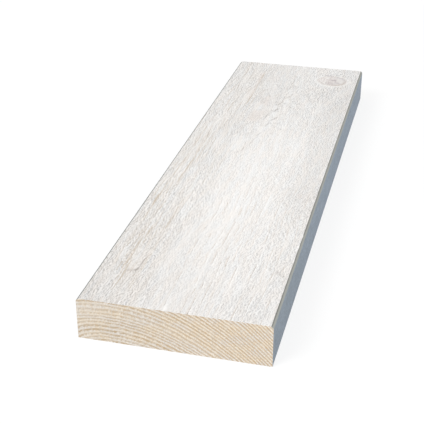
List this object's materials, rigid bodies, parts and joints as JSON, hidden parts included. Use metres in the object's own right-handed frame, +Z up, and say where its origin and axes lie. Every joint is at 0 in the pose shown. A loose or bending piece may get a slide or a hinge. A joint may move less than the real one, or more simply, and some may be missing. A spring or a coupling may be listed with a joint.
{
  "type": "timber plank",
  "caption": "Short softwood plank, a sawn face with a thin white glaze, painted planed edges, eased face arrises, and bare square-cut ends and back.",
  "frame": {"origin": "on the underside, at the middle of the width and the length", "axes": "+X across the width to the right, +Y along the grain from the near end to the far end, +Z up through the thickness to the sawn face"},
  "size_m": [0.145, 0.535, 0.034],
  "materials": {
    "glazed_timber": "thin matt white glaze on a rough sawn face, satin blue-grey paint on the planed long edges, bare timber on the ends and the back"
  },
  "bodies": {
    "root": {"plank": "glazed_timber"}
  },
  "joints": []
}
